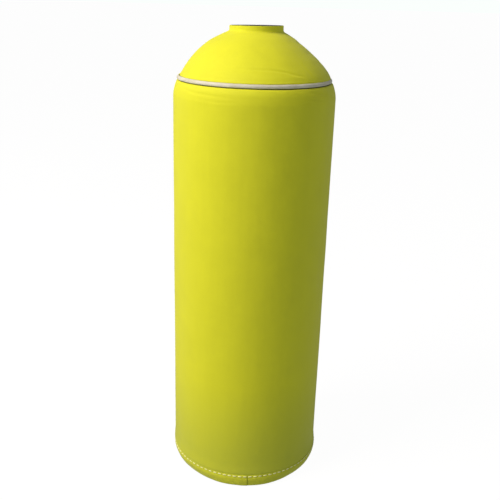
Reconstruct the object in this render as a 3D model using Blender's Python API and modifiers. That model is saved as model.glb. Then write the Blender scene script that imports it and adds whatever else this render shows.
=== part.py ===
"""A 9-litre aluminium scuba tank in a yellow neoprene cover.

The cylinder stands on its flat base at z = 0 with its axis on Z. The cover is a tube and a domed
shoulder sewn together over a white piping, with a collar round the neck and a bound hem. The neck is
closed by a screwed plug with an O-ring. Metres, +Z up, the front of the cover facing -Y.
"""

import math

import bmesh
import bpy

# ---------------------------------------------------------------------------- driving dimensions
# The cylinder
TANK_RADIUS = 0.0921  # a 7.25 inch tank
TANK_LENGTH = 0.556  # base to neck face, 21.9 inch
WALL = 0.0127
BASE_THICKNESS = 0.020
BASE_CORNER = 0.020
INNER_CORNER = 0.026
INNER_DOME_START = 0.476
INNER_DOME_RISE = 0.052  # the crown thickens towards the neck
NECK_RADIUS = 0.0278

# The cover, over the cylinder with a clearance everywhere
GAP = 0.0003
NEOPRENE = 0.0030
COVER_RADIUS = TANK_RADIUS + GAP + NEOPRENE
SHOULDER_START = 0.480  # where the straight side turns into the dome
SHOULDER_RISE = 0.0803
SHOULDER_POWER = 1.72  # of the superellipse: 2 would be an ellipse
SEAM_HEIGHT = 0.5010  # of the piped seam on the dome
COLLAR_RIM = 0.5606
COLLAR_INNER = NECK_RADIUS + GAP

# The piping in the shoulder seam: a cord in a folded tape
BEAD_RADIUS = 0.0020
BEAD_LIFT = 0.0010  # of its centre above the cover's face
BEAD_CORD = 0.0012
BEAD_WALL = 0.0005
TAPE_FOLD_GAP = 0.0003
FLANGE_LAYER = 0.0004
FLANGE_DEPTH = 0.0030
FLANGE_HALF = FLANGE_LAYER + TAPE_FOLD_GAP / 2
SEAM_HALF = FLANGE_HALF + GAP

# The hem: the panel's edge, pressed thinner, in a folded binding tape
HEM_TOP = 0.0170
HEM_BOTTOM = 0.0015
HEM_PRESSED = 0.0020
HEM_RAMP = 0.0020
BINDING = 0.0007
BINDING_UNDER = 0.0011
BINDING_BEND = 0.0020
HEM_STITCH_BELOW_TOP = 0.0017
HEM_SEAM_ANGLE = math.radians(-86.3)  # where the tape's ends meet, at the front

# The panels' closing seams, at the back: glued edge to edge, taped inside and stitched outside
BACK = math.radians(90)
SEAM_SLIT = 0.0004
TAPE_WIDTH = 0.018
TAPE_THICKNESS = 0.0005
TAPE_ABOVE_HEM = 0.006
TAPE_BELOW_DOME = 0.004
TAPE_FROM_NECK = 0.010
TAPE_FROM_PIPING = 0.006
SHOULDER_MEAN_RADIUS = 0.067

# Threads
THREAD_RADIUS = 0.00035
THREAD_FROM_PIPING = 0.0055
THREAD_FROM_HEM = 0.0020
THREAD_FROM_COLLAR = 0.0030

# The neck thread, 3/4 inch with 14 turns an inch, and the plug
PITCH = 0.0254 / 14
BORE_RADIUS = 0.0121
RIDGE_TIP = 0.01305
RIDGE_TIP_HALF = 0.0002
RIDGE_ROOT_HALF = 0.00058
FLANK_CLEARANCE = 0.0002
GLAND_RADIUS = 0.0166
GLAND_DEPTH = 0.0030
PLUG_FLANGE_RADIUS = 0.0210
PLUG_FLANGE = 0.0032
PLUG_SHANK_RADIUS = 0.0126
PLUG_CORE_RADIUS = BORE_RADIUS - GAP
PLUG_LENGTH = 0.0200  # below the neck face
PLUG_TURNS = 7
PLUG_THREAD_START = TANK_LENGTH - 0.0180
GROOVE_TURNS_BELOW = 3
GROOVE_TURNS = PLUG_TURNS + 5
SOCKET_FLATS = 0.014
SOCKET_DEPTH = 0.010
O_RING_RADIUS = 0.0146
O_RING_SECTION = 0.00135

# Chamfers and facets
CHAMFER = 0.0010
SMALL_CHAMFER = 0.0005
ROUND_STEPS = 40
THREAD_STEPS = 20
THREAD_SIDES = 6


# ---------------------------------------------------------------------------- scene and helpers
def clear_scene():
    for obj in list(bpy.data.objects):
        bpy.data.objects.remove(obj)


def new_collection(name):
    collection = bpy.data.collections.new(name)
    bpy.context.scene.collection.children.link(collection)
    return collection


def material(name, colour, roughness, metallic=0.0):
    made = bpy.data.materials.new(name)
    made.use_nodes = True
    shader = made.node_tree.nodes["Principled BSDF"]
    shader.inputs["Base Color"].default_value = (*colour, 1.0)
    shader.inputs["Roughness"].default_value = roughness
    shader.inputs["Metallic"].default_value = metallic
    return made


def add_object(name, data, finish=None):
    """An object in the part's collection, or a hidden cutter if it has no finish."""
    obj = bpy.data.objects.new(name, data)
    if finish is None:
        cutters.objects.link(obj)
        obj.hide_render = True
        obj.display_type = "WIRE"
    else:
        part.objects.link(obj)
        data.materials.append(finish)
    return obj


def arc(centre, radius, start, end, steps):
    """Points on an arc in the (radius, height) plane, both ends included; angles in degrees."""
    points = []
    for i in range(steps + 1):
        angle = math.radians(start + (end - start) * i / steps)
        points.append((centre[0] + radius * math.cos(angle), centre[1] + radius * math.sin(angle)))
    return points


def turned(name, outline, finish=None, steps=ROUND_STEPS, closed=True):
    """A solid turned round Z from an outline of (radius, height) points that runs down its outer side."""
    mesh = bpy.data.meshes.new(name)
    edges = [(i, i + 1) for i in range(len(outline) - 1)]
    if closed:
        edges.append((len(outline) - 1, 0))
    mesh.from_pydata([(r, 0.0, z) for r, z in outline], edges, [])
    obj = add_object(name, mesh, finish)
    screw = obj.modifiers.new("turn", "SCREW")
    screw.steps = steps
    screw.render_steps = steps
    screw.use_merge_vertices = True
    screw.merge_threshold = 0.00001
    return obj


def swept(name, outline, start, angle, steps, rise=0.0, finish=None):
    """An outline's face swept round Z through an angle, rising by rise: a strip, or a screw thread."""
    mesh = bpy.data.meshes.new(name)
    shape = bmesh.new()
    corners = [
        shape.verts.new((r * math.cos(start), r * math.sin(start), z)) for r, z in outline
    ]
    face = shape.faces.new(corners)
    bmesh.ops.spin(
        shape,
        geom=[face],
        axis=(0, 0, 1),
        cent=(0, 0, 0),
        dvec=(0, 0, rise / steps),
        angle=angle,
        steps=steps,
    )
    bmesh.ops.remove_doubles(shape, verts=shape.verts, dist=1e-7)
    bmesh.ops.recalc_face_normals(shape, faces=shape.faces)
    shape.to_mesh(mesh)
    shape.free()
    return add_object(name, mesh, finish)


def cut(obj, cutter, operation="DIFFERENCE"):
    modifier = obj.modifiers.new(cutter.name, "BOOLEAN")
    modifier.operation = operation
    modifier.solver = "EXACT"
    modifier.object = cutter


def ring(name, centre, section, finish, sides=THREAD_SIDES):
    """A round ring, such as a row of thread or an O-ring, from its section's (radius, height)."""
    return turned(name, arc(centre, section, 0, -360 + 360 / sides, sides - 1), finish)


# ---------------------------------------------------------------------------- the shoulder's curve
def shoulder_point(angle, offset=0.0):
    """(radius, height) on the cover's dome at an angle from its start, moved outwards by offset."""
    c, s = math.cos(angle), math.sin(angle)
    k = (c**SHOULDER_POWER + s**SHOULDER_POWER) ** (-1 / SHOULDER_POWER)
    u, v = c * k, s * k
    slope_r = u ** (SHOULDER_POWER - 1) / COVER_RADIUS
    slope_z = v ** (SHOULDER_POWER - 1) / SHOULDER_RISE
    size = math.hypot(slope_r, slope_z)
    return (
        COVER_RADIUS * u + offset * slope_r / size,
        SHOULDER_START + SHOULDER_RISE * v + offset * slope_z / size,
    )


def shoulder_angle(wanted, axis, offset=0.0):
    """The angle at which the dome has a wanted radius (axis 0) or height (axis 1)."""
    low, high = 0.0, math.pi / 2
    for _ in range(50):
        middle = (low + high) / 2
        value = shoulder_point(middle, offset)[axis]
        if (value < wanted) == (axis == 1):
            low = middle
        else:
            high = middle
    return (low + high) / 2


def shoulder_curve(start, end, steps, offset=0.0):
    return [shoulder_point(start + (end - start) * i / steps, offset) for i in range(steps + 1)]


def turn_along(angle, length):
    """The change of angle that moves a point along the dome by a short length."""
    nudge = 0.001
    return length * nudge / math.dist(shoulder_point(angle), shoulder_point(angle + nudge))


SEAM_ANGLE = shoulder_angle(SEAM_HEIGHT, 1)
SEAM_POINT = shoulder_point(SEAM_ANGLE)
SEAM_OUT = shoulder_point(SEAM_ANGLE, 1.0)
SEAM_NORMAL = (SEAM_OUT[0] - SEAM_POINT[0], SEAM_OUT[1] - SEAM_POINT[1])
SEAM_ALONG = (-SEAM_NORMAL[1], SEAM_NORMAL[0])  # up the dome


def seam_local(along, out):
    """A point placed from the seam: along the dome, and out from the cover's face."""
    return (
        SEAM_POINT[0] + along * SEAM_ALONG[0] + out * SEAM_NORMAL[0],
        SEAM_POINT[1] + along * SEAM_ALONG[1] + out * SEAM_NORMAL[1],
    )


# ---------------------------------------------------------------------------- the cylinder
def make_cylinder_shell():
    """The seamless shell: flat base, straight wall, dome, and a neck bored and threaded for a valve."""
    under_cover = -(NEOPRENE + GAP)
    dome_end = shoulder_angle(NECK_RADIUS, 0, under_cover)
    inner = TANK_RADIUS - WALL
    bore_angle = math.acos(BORE_RADIUS / inner)
    gland_floor = TANK_LENGTH - GLAND_DEPTH

    outline = [(0.0, BASE_THICKNESS)]
    outline += arc((inner - INNER_CORNER, BASE_THICKNESS + INNER_CORNER), INNER_CORNER, -90, 0, 4)
    for i in range(8):
        angle = bore_angle * i / 7
        height = INNER_DOME_START + INNER_DOME_RISE * math.sin(angle)
        outline.append((inner * math.cos(angle), height))
    outline += [
        (BORE_RADIUS, gland_floor),
        (GLAND_RADIUS, gland_floor),
        (GLAND_RADIUS, TANK_LENGTH),
        (NECK_RADIUS - CHAMFER, TANK_LENGTH),
        (NECK_RADIUS, TANK_LENGTH - CHAMFER),
    ]
    outline += shoulder_curve(dome_end, 0.0, 11, under_cover)
    outline += arc((TANK_RADIUS - BASE_CORNER, BASE_CORNER), BASE_CORNER, 0, -90, 5)
    outline.append((0.0, 0.0))
    shell = turned("cylinder_shell", outline, aluminium, closed=False)

    groove_start = PLUG_THREAD_START - GROOVE_TURNS_BELOW * PITCH
    cut(shell, thread_form("neck_thread_cutter", groove_start, GROOVE_TURNS, GAP, FLANK_CLEARANCE))


def thread_form(name, start_height, turns, tip_room=0.0, flank_room=0.0):
    """The screw thread's helical body: the plug's ridge, or with room round it the neck's groove."""
    root = PLUG_CORE_RADIUS - GAP
    tip = RIDGE_TIP + tip_room
    root_half = RIDGE_ROOT_HALF + flank_room
    tip_half = RIDGE_TIP_HALF + flank_room
    outline = [
        (root, start_height - root_half),
        (tip, start_height - tip_half),
        (tip, start_height + tip_half),
        (root, start_height + root_half),
    ]
    return swept(name, outline, 0.0, turns * math.tau, turns * THREAD_STEPS, turns * PITCH)


def make_neck_plug():
    """The nylon plug that closes the neck: a flange, a threaded shank and a hexagon socket."""
    flange_under = TANK_LENGTH + GAP
    flange_top = flange_under + PLUG_FLANGE
    gland_floor = TANK_LENGTH - GLAND_DEPTH
    bottom = TANK_LENGTH - PLUG_LENGTH
    outline = [
        (0.0, flange_top),
        (PLUG_FLANGE_RADIUS - CHAMFER, flange_top),
        (PLUG_FLANGE_RADIUS, flange_top - CHAMFER),
        (PLUG_FLANGE_RADIUS, flange_under),
        (PLUG_SHANK_RADIUS, flange_under),
        (PLUG_SHANK_RADIUS, gland_floor + 3 * GAP),
        (PLUG_CORE_RADIUS, gland_floor + GAP),
        (PLUG_CORE_RADIUS, bottom + CHAMFER),
        (PLUG_CORE_RADIUS - CHAMFER, bottom),
        (0.0, bottom),
    ]
    plug = turned("neck_plug", outline, nylon, steps=THREAD_STEPS * 2, closed=False)
    cut(plug, thread_form("plug_thread", PLUG_THREAD_START, PLUG_TURNS), "UNION")

    socket = bpy.data.meshes.new("socket_cutter")
    shape = bmesh.new()
    bmesh.ops.create_cone(
        shape,
        cap_ends=True,
        segments=6,
        radius1=SOCKET_FLATS / math.sqrt(3),
        radius2=SOCKET_FLATS / math.sqrt(3),
        depth=SOCKET_DEPTH * 2,
    )
    shape.to_mesh(socket)
    shape.free()
    cutter = add_object("socket_cutter", socket)
    cutter.location.z = flange_top
    cut(plug, cutter)


def make_plug_o_ring():
    """The O-ring under the plug's flange, in the gland at the mouth of the neck."""
    floor = TANK_LENGTH - GLAND_DEPTH
    roof = TANK_LENGTH + GAP
    ring("plug_o_ring", (O_RING_RADIUS, (floor + roof) / 2), O_RING_SECTION, rubber, sides=10)


# ---------------------------------------------------------------------------- the cover
def cut_slit(obj, azimuth, radius):
    """Parts a rolled piece at one azimuth, where its two ends meet."""
    half = SEAM_SLIT / 2 / radius
    inner, outer = COLLAR_INNER / 2, COVER_RADIUS + HEM_TOP
    bottom, top = -HEM_TOP, COLLAR_RIM + HEM_TOP
    blade = [(inner, top), (outer, top), (outer, bottom), (inner, bottom)]
    cut(obj, swept(obj.name + "_slit", blade, azimuth - half, 2 * half, 1))


def body_tape_run(offset, grow):
    """The body seam's tape, from just under the dome to just over the hem."""
    radius = COVER_RADIUS + offset
    top = SHOULDER_START - TAPE_BELOW_DOME + grow
    bottom = HEM_TOP + TAPE_ABOVE_HEM - grow
    return [(radius, top), (radius, bottom)]


def shoulder_tape_run(offset, grow):
    """The shoulder seam's tape follows the dome from the collar to the piped seam."""
    first = shoulder_angle(COLLAR_INNER + TAPE_FROM_NECK - grow, 0)
    last = SEAM_ANGLE + turn_along(SEAM_ANGLE, TAPE_FROM_PIPING - grow)
    return shoulder_curve(first, last, 6, offset)


def tape_outline(run, grow):
    """A tape's section, flush with the panel's inner face, or grown all round for its recess."""
    face = run(-NEOPRENE - grow, grow)
    back = run(-NEOPRENE + TAPE_THICKNESS + grow, grow)
    return back + face[::-1]


def close_seam(panel, name, run, mean_radius):
    """Parts a rolled panel at the back, recesses its inner face, and lays the glued tape in it."""
    half = TAPE_WIDTH / 2 / mean_radius
    recess = half + GAP / mean_radius
    pocket = swept(name + "_pocket", tape_outline(run, GAP), BACK - recess, 2 * recess, 4)
    cut(panel, pocket)
    cut_slit(panel, BACK, mean_radius)
    swept(name, tape_outline(run, 0.0), BACK - half, 2 * half, 4, finish=lining)


def groove_for_bead(panel):
    """Rounds a panel's edge where the piping's bead presses into the neoprene."""
    outline = arc(seam_local(0.0, BEAD_LIFT), BEAD_RADIUS + GAP, 0, -330, 11)
    cut(panel, turned(panel.name + "_groove", outline))


def make_body_panel():
    """The rolled neoprene tube, its lower edge pressed thinner inside the hem."""
    top = SEAM_ANGLE - turn_along(SEAM_ANGLE, SEAM_HALF)
    pressed = COVER_RADIUS - HEM_PRESSED
    edge = HEM_BOTTOM + BINDING_UNDER + GAP
    outline = shoulder_curve(top, 0.0, 6)
    outline += [
        (COVER_RADIUS, HEM_TOP),
        (COVER_RADIUS, edge + CHAMFER),
        (COVER_RADIUS - CHAMFER, edge),
        (pressed, edge),
        (pressed, HEM_TOP + GAP),
        (COVER_RADIUS - NEOPRENE, HEM_TOP + HEM_RAMP),
    ]
    outline += shoulder_curve(0.0, top, 6, -NEOPRENE)
    panel = turned("cover_body_panel", outline, fabric)
    groove_for_bead(panel)
    close_seam(panel, "body_seam_tape", body_tape_run, COVER_RADIUS)


def make_shoulder_panel():
    """The domed panel between the piped seam and the collar."""
    bottom = SEAM_ANGLE + turn_along(SEAM_ANGLE, SEAM_HALF)
    outline = shoulder_curve(shoulder_angle(COLLAR_INNER, 0), bottom, 10)
    outline += shoulder_curve(bottom, shoulder_angle(COLLAR_INNER, 0, -NEOPRENE), 10, -NEOPRENE)
    panel = turned("cover_shoulder_panel", outline, fabric)
    groove_for_bead(panel)
    close_seam(panel, "shoulder_seam_tape", shoulder_tape_run, SHOULDER_MEAN_RADIUS)


def make_collar():
    """The short band round the neck, sewn to the top of the shoulder panel."""
    outer = COLLAR_INNER + NEOPRENE
    outline = [
        (COLLAR_INNER + SMALL_CHAMFER, COLLAR_RIM),
        (outer - SMALL_CHAMFER, COLLAR_RIM),
        (outer, COLLAR_RIM - SMALL_CHAMFER),
        shoulder_point(shoulder_angle(outer, 0, GAP), GAP),
        shoulder_point(shoulder_angle(COLLAR_INNER, 0, GAP), GAP),
        (COLLAR_INNER, COLLAR_RIM - SMALL_CHAMFER),
    ]
    collar = turned("cover_collar", outline, fabric)
    cut_slit(collar, BACK, outer)


def make_hem_binding():
    """The folded tape that binds the cover's lower edge, its two ends meeting at the front."""
    inner = COVER_RADIUS - NEOPRENE
    inner_leg = inner + BINDING
    channel = COVER_RADIUS + GAP
    outer = channel + BINDING
    floor = HEM_BOTTOM + BINDING_UNDER
    bend = BINDING_BEND
    tight_bend = BINDING_BEND / 2
    outline = [(channel, HEM_TOP), (outer, HEM_TOP)]
    outline += arc((outer - bend, HEM_BOTTOM + bend), bend, 0, -90, 4)
    outline += arc((inner + tight_bend, HEM_BOTTOM + tight_bend), tight_bend, -90, -180, 2)
    outline += [
        (inner, HEM_TOP),
        (inner_leg, HEM_TOP),
        (inner_leg, floor),
        (channel - CHAMFER, floor),
        (channel, floor + CHAMFER),
    ]
    binding = turned("hem_binding", outline, fabric)
    cut_slit(binding, HEM_SEAM_ANGLE, COVER_RADIUS)


def make_piping_tape():
    """The white tape folded round the cord, both its layers running into the seam as a flange."""
    outer_side = math.degrees(math.asin(FLANGE_HALF / BEAD_RADIUS))
    bore = BEAD_RADIUS - BEAD_WALL
    fold = TAPE_FOLD_GAP / 2
    inner_side = math.degrees(math.asin(fold / bore))
    section = [(FLANGE_HALF, -FLANGE_DEPTH)]
    section += arc((0, 0), BEAD_RADIUS, -90 + outer_side, 270 - outer_side, 12)
    section += [(-FLANGE_HALF, -FLANGE_DEPTH), (-fold, -FLANGE_DEPTH)]
    section += arc((0, 0), bore, 270 - inner_side, -90 + inner_side, 8)
    section.append((fold, -FLANGE_DEPTH))
    outline = [seam_local(along, BEAD_LIFT + out) for along, out in section]
    turned("piping_tape", outline, piping_white)


def make_piping_cord():
    """The cord inside the piping."""
    ring("piping_cord", seam_local(0.0, BEAD_LIFT), BEAD_CORD, cotton, sides=8)


# ---------------------------------------------------------------------------- the stitching
def seam_thread(name, points):
    """A row of stitching up a closing seam at the back, from (radius, height) points."""
    data = bpy.data.curves.new(name, "CURVE")
    data.dimensions = "3D"
    data.bevel_depth = THREAD_RADIUS
    data.bevel_resolution = 2
    data.use_fill_caps = True
    spline = data.splines.new("POLY")
    spline.points.add(len(points) - 1)
    for point, (radius, height) in zip(spline.points, points):
        point.co = (radius * math.cos(BACK), radius * math.sin(BACK), height, 1.0)
    add_object(name, data, thread_yellow)


def make_threads():
    """Each row of stitching, as one run of thread laid on the cover."""
    lift = GAP + THREAD_RADIUS
    hem_face = COVER_RADIUS + GAP + BINDING
    ring("hem_thread", (hem_face + lift, HEM_TOP - HEM_STITCH_BELOW_TOP), THREAD_RADIUS, thread_yellow)

    inside = seam_local(0.0, BEAD_LIFT - FLANGE_DEPTH - lift)
    ring("shoulder_seam_thread", inside, THREAD_RADIUS, thread_yellow)

    collar_face = COLLAR_INNER + NEOPRENE + lift
    foot = shoulder_point(shoulder_angle(collar_face, 0, lift), lift)
    ring("collar_seam_thread", (collar_face, foot[1] + GAP), THREAD_RADIUS, thread_yellow)

    below = SEAM_ANGLE - turn_along(SEAM_ANGLE, THREAD_FROM_PIPING)
    body_run = shoulder_curve(below, 0.0, 5, lift)
    body_run.append((COVER_RADIUS + lift, HEM_TOP + THREAD_FROM_HEM))
    seam_thread("body_closing_thread", body_run)

    above = SEAM_ANGLE + turn_along(SEAM_ANGLE, THREAD_FROM_PIPING)
    top = shoulder_angle(collar_face + THREAD_FROM_COLLAR, 0, lift)
    seam_thread("shoulder_closing_thread", shoulder_curve(top, above, 12, lift))


# ---------------------------------------------------------------------------- the whole object
clear_scene()
part = new_collection("scuba_tank")
cutters = new_collection("cutters")

fabric = material("yellow_neoprene", (0.80, 0.76, 0.05), 0.62)
lining = material("black_lining", (0.03, 0.03, 0.03), 0.8)
piping_white = material("white_piping", (0.78, 0.75, 0.68), 0.45)
cotton = material("cotton_cord", (0.80, 0.77, 0.70), 0.9)
thread_yellow = material("yellow_thread", (0.88, 0.85, 0.22), 0.5)
aluminium = material("brushed_aluminium", (0.66, 0.67, 0.68), 0.38, 1.0)
nylon = material("black_nylon", (0.03, 0.03, 0.033), 0.42)
rubber = material("black_rubber", (0.02, 0.02, 0.02), 0.7)

make_cylinder_shell()
make_neck_plug()
make_plug_o_ring()
make_body_panel()
make_shoulder_panel()
make_collar()
make_hem_binding()
make_piping_tape()
make_piping_cord()
make_threads()
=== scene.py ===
import math

import bmesh
import bpy
from mathutils import Matrix, Vector
from mathutils.noise import noise


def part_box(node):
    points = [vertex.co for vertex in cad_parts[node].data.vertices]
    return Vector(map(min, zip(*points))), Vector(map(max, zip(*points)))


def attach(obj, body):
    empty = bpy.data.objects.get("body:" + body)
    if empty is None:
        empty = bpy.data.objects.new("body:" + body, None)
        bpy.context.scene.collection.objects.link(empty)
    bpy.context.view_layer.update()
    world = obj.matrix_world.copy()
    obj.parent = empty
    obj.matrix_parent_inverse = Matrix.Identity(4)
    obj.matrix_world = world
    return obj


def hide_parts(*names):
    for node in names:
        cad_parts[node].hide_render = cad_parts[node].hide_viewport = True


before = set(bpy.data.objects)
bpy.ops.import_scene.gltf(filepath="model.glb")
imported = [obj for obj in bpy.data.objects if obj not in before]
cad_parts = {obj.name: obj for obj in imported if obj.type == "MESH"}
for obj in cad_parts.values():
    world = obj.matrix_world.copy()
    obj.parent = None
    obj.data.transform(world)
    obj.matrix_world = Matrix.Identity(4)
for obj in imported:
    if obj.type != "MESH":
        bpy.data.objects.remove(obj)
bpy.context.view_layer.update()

# ---------------------------------------- camera
# It stands a little over four and a half tank widths off, its lens 28 mm over the collar's rim, tilted down
# so that the whole tank is in view, and turned slightly on its own axis, as one held in the hand is.
CAMERA_DISTANCE = 0.8525
CAMERA_HEIGHT = 0.5884
CAMERA_TILT = math.radians(19.46)
CAMERA_ROLL = math.radians(1.68)
LENS_MM = 51.24
SENSOR_MM = 36.0

camera_data = bpy.data.cameras.new("camera")
camera_data.lens = LENS_MM
camera_data.sensor_width = SENSOR_MM
camera = bpy.data.objects.new("camera", camera_data)
bpy.context.scene.collection.objects.link(camera)
camera.matrix_world = (
    Matrix.Translation((0.0, -CAMERA_DISTANCE, CAMERA_HEIGHT))
    @ Matrix.Rotation(math.pi / 2 - CAMERA_TILT, 4, "X")
    @ Matrix.Rotation(CAMERA_ROLL, 4, "Z")
)
bpy.context.scene.camera = camera

# ---------------------------------------- floor and light
# A white floor as far as the eye can see, a warm softbox high up on the left, and the soft light of a
# white room from all round.
ROOM_LIGHT = 0.37
CEILING_LIGHT = 0.19
ROOM_SEEN = 0.98
ROOM_COLOUR = (0.98, 1.02, 1.0, 1.0)
FLOOR_GLOW = 0.97
FLOOR_SHADE = 0.05
FLOOR_HALF_SIZE = 60.0
KEY_AZIMUTH = math.radians(-155)
KEY_ELEVATION = math.radians(43)
KEY_DISTANCE = 2.2
KEY_SIZE = 1.1
KEY_COLOUR = (1.0, 0.89, 0.80)
KEY_WATTS = 55.0
KEY_TARGET = Vector((0.0, 0.0, 0.30))


def node(tree, kind, sockets=(), out=0, **settings):
    """Adds a shader node; each socket is set to a value or linked from another node's output."""
    made = tree.nodes.new("ShaderNode" + kind)
    for key, value in settings.items():
        setattr(made, key, value)
    for key, value in dict(sockets).items():
        if isinstance(value, bpy.types.NodeSocket):
            tree.links.new(value, made.inputs[key])
        else:
            made.inputs[key].default_value = value
    return made.outputs[out]


bpy.context.scene.view_settings.view_transform = "Standard"

world = bpy.data.worlds.new("white_room")
world.use_nodes = True
tree = world.node_tree
tree.nodes.clear()
facing = tree.nodes.new("ShaderNodeSeparateXYZ")
tree.links.new(node(tree, "TexCoord", out="Generated"), facing.inputs[0])
upwards = node(tree, "MapRange", {0: facing.outputs[2], 1: 0.2, 2: 1.0, 3: ROOM_LIGHT, 4: CEILING_LIGHT})
seen = node(tree, "LightPath", out="Is Camera Ray")
strength = node(tree, "Mix", {0: seen, 2: upwards, 3: ROOM_SEEN})
room = node(tree, "Background", {"Color": ROOM_COLOUR, "Strength": strength})
output = tree.nodes.new("ShaderNodeOutputWorld")
tree.links.new(room, output.inputs["Surface"])
bpy.context.scene.world = world

key_data = bpy.data.lights.new("softbox", "AREA")
key_data.shape = "SQUARE"
key_data.size = KEY_SIZE
key_data.energy = KEY_WATTS
key_data.color = KEY_COLOUR
key = bpy.data.objects.new("softbox", key_data)
bpy.context.scene.collection.objects.link(key)
key.location = KEY_TARGET + KEY_DISTANCE * Vector((
    math.cos(KEY_ELEVATION) * math.cos(KEY_AZIMUTH),
    math.cos(KEY_ELEVATION) * math.sin(KEY_AZIMUTH),
    math.sin(KEY_ELEVATION),
))
key.rotation_euler = (KEY_TARGET - key.location).to_track_quat("-Z", "Y").to_euler()
key.visible_camera = False

paint = bpy.data.materials.new("white_floor")
paint.use_nodes = True
tree = paint.node_tree
shader = tree.nodes["Principled BSDF"]
shader.inputs["Base Color"].default_value = (FLOOR_SHADE, FLOOR_SHADE, FLOOR_SHADE, 1.0)
shader.inputs["Roughness"].default_value = 1.0
shader.inputs["Specular IOR Level"].default_value = 0.0
shader.inputs["Emission Color"].default_value = (1.0, 1.0, 1.0, 1.0)
shader.inputs["Emission Strength"].default_value = FLOOR_GLOW
shape = bmesh.new()
bmesh.ops.create_grid(shape, x_segments=1, y_segments=1, size=FLOOR_HALF_SIZE)
mesh = bpy.data.meshes.new("floor")
shape.to_mesh(mesh)
shape.free()
mesh.materials.append(paint)
floor = bpy.data.objects.new("floor", mesh)
bpy.context.scene.collection.objects.link(floor)
floor.visible_diffuse = False
floor.visible_glossy = False
floor.visible_shadow = False

# ---------------------------------------- the cylinder
# A seamless shell of aluminium alloy, extruded, closed over a mandrel at the shoulder, then turned: the
# neck face, the O-ring gland and the 3/4 inch thread are machined, the outside is belt brushed all round.
TANK_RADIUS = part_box("cylinder_shell")[1].x
TANK_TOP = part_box("cylinder_shell")[1].z
WALL = 0.0127
FLOOR_THICKNESS = 0.020
BASE_CORNER = 0.020
INNER_CORNER = 0.026
INNER_DOME_START = 0.476
INNER_DOME_RISE = 0.052
NECK_RADIUS = 0.0278
NECK_CHAMFER = 0.0010
GLAND_RADIUS = 0.0166
GLAND_DEPTH = 0.0030
PITCH = 0.0254 / 14
THREAD_MINOR = 0.0121
THREAD_MAJOR = 0.01338
THREAD_DEPTH = 0.0235
LEAD_IN_TURNS = 1 / 3
LEAD_IN_START = 0.35
COVER_GAP = 0.0003
NEOPRENE = 0.0030

COVER_RADIUS = TANK_RADIUS + COVER_GAP + NEOPRENE
SHOULDER_START = 0.480
SHOULDER_RISE = 0.0803
SHOULDER_POWER = 1.72

WEDGES = 12
TANK_STEPS = 192
THREAD_STEPS = 48


def dome_point(angle, offset=0.0):
    """(radius, height) on the cover's superelliptic dome, at an angle from its start and an offset out."""
    c, s = math.cos(angle), math.sin(angle)
    k = (c**SHOULDER_POWER + s**SHOULDER_POWER) ** (-1 / SHOULDER_POWER)
    u, v = c * k, s * k
    slope_r = u ** (SHOULDER_POWER - 1) / COVER_RADIUS
    slope_z = v ** (SHOULDER_POWER - 1) / SHOULDER_RISE
    size = math.hypot(slope_r, slope_z)
    return (
        COVER_RADIUS * u + offset * slope_r / size,
        SHOULDER_START + SHOULDER_RISE * v + offset * slope_z / size,
    )


def dome_angle(wanted, axis, offset=0.0):
    """The angle at which the dome has a wanted radius (axis 0) or height (axis 1)."""
    low, high = 0.0, math.pi / 2
    for _ in range(50):
        middle = (low + high) / 2
        if (dome_point(middle, offset)[axis] < wanted) == (axis == 1):
            low = middle
        else:
            high = middle
    return (low + high) / 2


def dome_curve(start, end, steps, offset=0.0):
    return [dome_point(start + (end - start) * i / steps, offset) for i in range(steps + 1)]


def arc(centre, radius, start, end, steps):
    """Points on an arc in the (radius, height) plane, both ends included; angles in degrees."""
    points = []
    for i in range(steps + 1):
        angle = math.radians(start + (end - start) * i / steps)
        points.append((centre[0] + radius * math.cos(angle), centre[1] + radius * math.sin(angle)))
    return points


def finish_as(points, index):
    """Outline points whose stretches take one finish."""
    return [(r, z, index) for r, z in points]


def upright(radius, start, end, steps):
    """Points up or down a straight side, all but the first."""
    return [(radius, start + (end - start) * i / steps) for i in range(1, steps + 1)]


def around(azimuth, radius, height):
    return Vector((radius * math.cos(azimuth), radius * math.sin(azimuth), height))


def clamp(value):
    return min(1.0, max(0.0, value))


def spin_round(shape, geom, angle, steps, climb=0.0, copies=False):
    """Spins geometry round Z, rising by climb at each step: into faces, or into separate copies."""
    bmesh.ops.spin(
        shape,
        geom=geom,
        axis=(0, 0, 1),
        cent=(0, 0, 0),
        dvec=(0, 0, climb),
        angle=angle,
        steps=steps,
        use_duplicate=copies,
    )


def face_out(shape):
    bmesh.ops.recalc_face_normals(shape, faces=shape.faces)


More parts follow.
